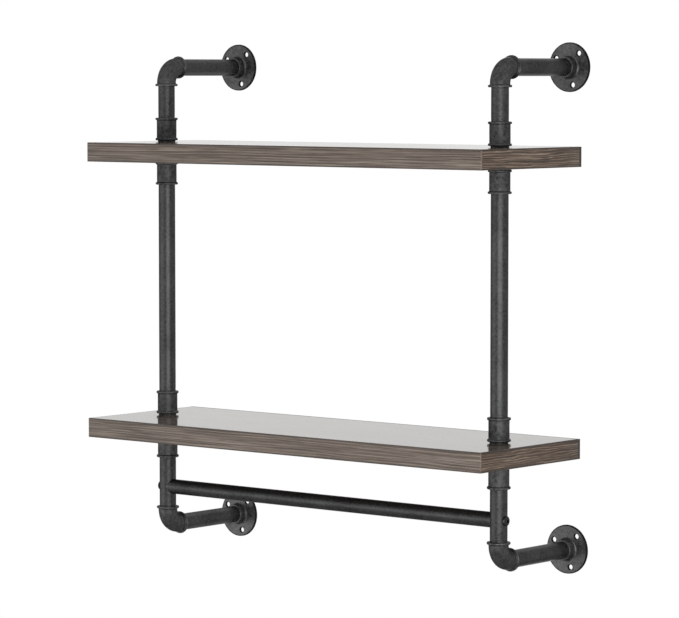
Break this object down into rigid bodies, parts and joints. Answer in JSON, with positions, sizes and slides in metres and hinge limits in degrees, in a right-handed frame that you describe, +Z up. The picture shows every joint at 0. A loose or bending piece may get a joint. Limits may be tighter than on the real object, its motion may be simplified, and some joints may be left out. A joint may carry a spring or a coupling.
{
  "type": "pipe shelving unit",
  "caption": "Wall-mounted shelving unit with laminated boards clamped on black pipe posts, arms with round screw flanges, and a towel bar below.",
  "frame": {"origin": "in the wall plane, midway between the four flanges", "axes": "+X along the boards to the right as seen from the room, +Y into the wall, +Z up"},
  "size_m": [0.6096, 0.2311, 0.6284],
  "materials": {
    "black_pipe": "satin black baked coating over steel pipe, fine speckle",
    "black_casting": "satin black coating over a slightly rough casting",
    "black_screw": "black oxide, semi-gloss",
    "zinc_plug": "plain zinc plate, hidden inside the bar",
    "board_core": "raw particle board, hidden",
    "gloss_laminate": "glossy grey-brown oak-look laminate",
    "backing_laminate": "satin grey-brown wood-look laminate",
    "wood_edge": "satin grey-brown wood-grain edge band"
  },
  "bodies": {
    "root": {"left_upper_flange": "black_casting", "left_upper_arm": "black_pipe", "left_upper_elbow": "black_casting", "left_upper_post_pipe": "black_pipe", "left_upper_board_top_coupling": "black_casting", "left_upper_board_nipple": "black_pipe", "left_upper_board_bottom_coupling": "black_casting", "left_middle_post_pipe": "black_pipe", "left_lower_board_top_coupling": "black_casting", "left_lower_board_nipple": "black_pipe", "left_lower_board_bottom_coupling": "black_casting", "left_lower_post_pipe": "black_pipe", "left_lower_elbow": "black_casting", "left_lower_arm": "black_pipe", "left_lower_flange": "black_casting", "right_upper_flange": "black_casting", "right_upper_arm": "black_pipe", "right_upper_elbow": "black_casting", "right_upper_post_pipe": "black_pipe", "right_upper_board_top_coupling": "black_casting", "right_upper_board_nipple": "black_pipe", "right_upper_board_bottom_coupling": "black_casting", "right_middle_post_pipe": "black_pipe", "right_lower_board_top_coupling": "black_casting", "right_lower_board_nipple": "black_pipe", "right_lower_board_bottom_coupling": "black_casting", "right_lower_post_pipe": "black_pipe", "right_lower_elbow": "black_casting", "right_lower_arm": "black_pipe", "right_lower_flange": "black_casting", "upper_board_core": "board_core", "upper_board_top_sheet": "gloss_laminate", "upper_board_bottom_sheet": "backing_laminate", "upper_board_front_band": "wood_edge", "upper_board_back_band": "wood_edge", "upper_board_left_band": "wood_edge", "upper_board_right_band": "wood_edge", "lower_board_core": "board_core", "lower_board_top_sheet": "gloss_laminate", "lower_board_bottom_sheet": "backing_laminate", "lower_board_front_band": "wood_edge", "lower_board_back_band": "wood_edge", "lower_board_left_band": "wood_edge", "lower_board_right_band": "wood_edge", "towel_bar": "black_pipe", "left_bar_plug": "zinc_plug", "right_bar_plug": "zinc_plug", "left_bar_screw": "black_screw", "right_bar_screw": "black_screw"}
  },
  "joints": []
}
